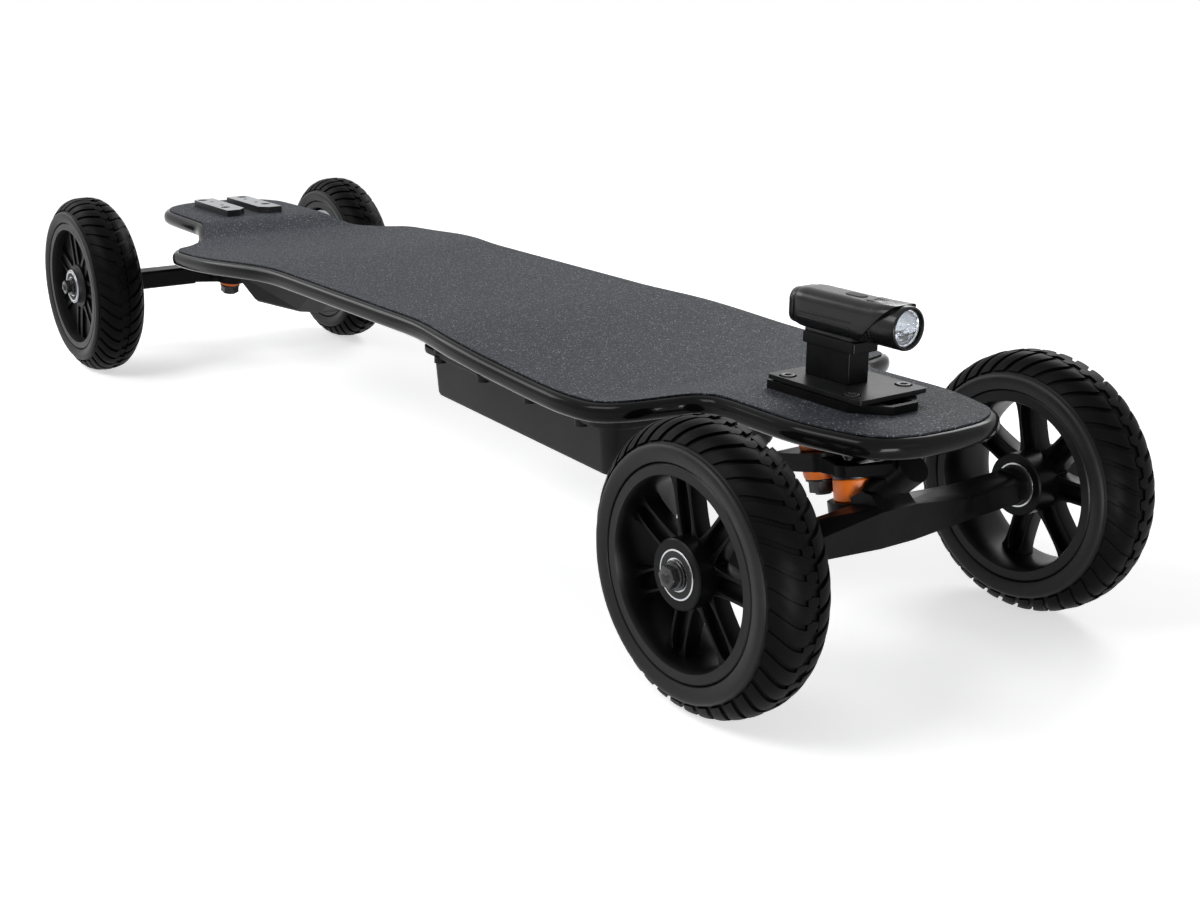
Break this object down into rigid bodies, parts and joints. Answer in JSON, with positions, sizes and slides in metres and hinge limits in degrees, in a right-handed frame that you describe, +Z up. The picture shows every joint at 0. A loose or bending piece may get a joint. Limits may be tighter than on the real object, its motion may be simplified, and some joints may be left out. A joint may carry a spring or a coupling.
{
  "type": "electric mountainboard",
  "caption": "Electric mountainboard: a flat deck with grip, underslung battery and controller boxes, double-pivot sprung trucks, treaded air tyres, rear hub motors and a nose light.",
  "frame": {"origin": "on the ground, midway between the axles and on the board's centre plane", "axes": "+X forward towards the nose, +Y to the left, +Z up"},
  "size_m": [1.082, 0.325, 0.211],
  "materials": {
    "deck_gloss": "gloss",
    "grip": "matte",
    "rubber_soft": "matte",
    "dark_steel": "satin",
    "box_plastic": "matte",
    "cell_wrap": "gloss",
    "board_green": "satin",
    "heat_sink": "satin",
    "black_plastic": "satin",
    "bare_aluminium": "satin",
    "black_metal": "satin",
    "reflector": "gloss",
    "lens": "gloss",
    "led_resin": "gloss",
    "orange_urethane": "satin",
    "axle_steel": "satin",
    "tyre_rubber": "matte",
    "rim_black": "satin",
    "motor_metal": "satin",
    "copper": "satin"
  },
  "bodies": {
    "deck": {"deck_board": "deck_gloss", "grip_tape": "grip", "riser_pads": "rubber_soft", "truck_bolts": "dark_steel", "battery_tub": "box_plastic", "battery_lid": "box_plastic", "battery_cells": "cell_wrap", "battery_board": "board_green", "box_screws": "dark_steel", "controller_cover": "box_plastic", "controller_board": "heat_sink", "charge_socket": "black_plastic", "rear_rails": "bare_aluminium", "light_block": "black_metal", "light_plate": "black_metal", "light_post": "black_metal", "light_body": "black_metal", "light_tail_cap": "black_metal", "light_bezel": "black_metal", "light_reflector": "reflector", "light_lens": "lens", "light_led": "led_resin", "front_baseplate": "black_metal", "front_inner_kingpin": "dark_steel", "front_inner_bushings": "orange_urethane", "rear_baseplate": "black_metal", "rear_inner_kingpin": "dark_steel", "rear_inner_bushings": "orange_urethane"},
    "charge_cap": {"charge_cap": "rubber_soft"},
    "power_button": {"power_button": "black_plastic"},
    "light_button": {"light_button": "black_plastic"},
    "front_link": {"front_link": "black_metal", "front_outer_kingpin": "dark_steel", "front_outer_bushings": "orange_urethane"},
    "front_hanger": {"front_hanger": "black_metal", "front_axle": "axle_steel", "front_axle_nuts": "dark_steel"},
    "front_left_wheel": {"front_left_tyre": "tyre_rubber", "front_left_rim": "rim_black", "front_left_bearings": "axle_steel"},
    "front_right_wheel": {"front_right_tyre": "tyre_rubber", "front_right_rim": "rim_black", "front_right_bearings": "axle_steel"},
    "rear_link": {"rear_link": "black_metal", "rear_outer_kingpin": "dark_steel", "rear_outer_bushings": "orange_urethane"},
    "rear_hanger": {"rear_hanger": "black_metal", "rear_axle": "axle_steel", "rear_axle_nuts": "dark_steel", "rear_stators": "copper"},
    "rear_left_wheel": {"rear_left_tyre": "tyre_rubber", "rear_left_rim": "rim_black", "rear_left_bearings": "axle_steel", "rear_left_motor_can": "motor_metal"},
    "rear_right_wheel": {"rear_right_tyre": "tyre_rubber", "rear_right_rim": "rim_black", "rear_right_bearings": "axle_steel", "rear_right_motor_can": "motor_metal"}
  },
  "joints": [
    {"name": "front_inner_pivot", "type": "hinge", "parent": "deck", "child": "front_link", "pos_m": [0.4045, 0, 0.1065], "axis": [0.8579, 0, 0.5138], "range_deg": [-8, 8], "stiffness_Nm_per_rad": 60, "deforming": ["front_inner_bushings"]},
    {"name": "front_outer_pivot", "type": "hinge", "parent": "front_link", "child": "front_hanger", "pos_m": [0.439, 0, 0.084], "axis": [0.7438, 0, 0.6684], "range_deg": [-8, 8], "stiffness_Nm_per_rad": 60, "deforming": ["front_outer_bushings"]},
    {"name": "front_left_spin", "type": "hinge", "parent": "front_hanger", "child": "front_left_wheel", "pos_m": [0.4585, 0.132, 0.0825], "axis": [0, 1, 0], "continuous": true},
    {"name": "front_right_spin", "type": "hinge", "parent": "front_hanger", "child": "front_right_wheel", "pos_m": [0.4585, -0.132, 0.0825], "axis": [0, 1, 0], "continuous": true},
    {"name": "rear_inner_pivot", "type": "hinge", "parent": "deck", "child": "rear_link", "pos_m": [-0.4045, 0, 0.1065], "axis": [-0.8579, 0, 0.5138], "range_deg": [-8, 8], "stiffness_Nm_per_rad": 60, "deforming": ["rear_inner_bushings"]},
    {"name": "rear_outer_pivot", "type": "hinge", "parent": "rear_link", "child": "rear_hanger", "pos_m": [-0.439, 0, 0.084], "axis": [-0.7438, 0, 0.6684], "range_deg": [-8, 8], "stiffness_Nm_per_rad": 60, "deforming": ["rear_outer_bushings"]},
    {"name": "rear_left_spin", "type": "hinge", "parent": "rear_hanger", "child": "rear_left_wheel", "pos_m": [-0.4585, 0.132, 0.0825], "axis": [0, 1, 0], "continuous": true},
    {"name": "rear_right_spin", "type": "hinge", "parent": "rear_hanger", "child": "rear_right_wheel", "pos_m": [-0.4585, -0.132, 0.0825], "axis": [0, 1, 0], "continuous": true},
    {"name": "charge_cap_hinge", "type": "hinge", "parent": "deck", "child": "charge_cap", "pos_m": [-0.15, 0.07855, 0.1315], "axis": [1, 0, 0], "range_deg": [0, 80]},
    {"name": "power_button_press", "type": "slide", "parent": "deck", "child": "power_button", "axis": [0, 1, 0], "range_m": [-0.0012, 0], "stiffness_N_per_m": 500},
    {"name": "light_button_press", "type": "slide", "parent": "deck", "child": "light_button", "axis": [0, 0, 1], "range_m": [-0.0008, 0], "stiffness_N_per_m": 500}
  ]
}
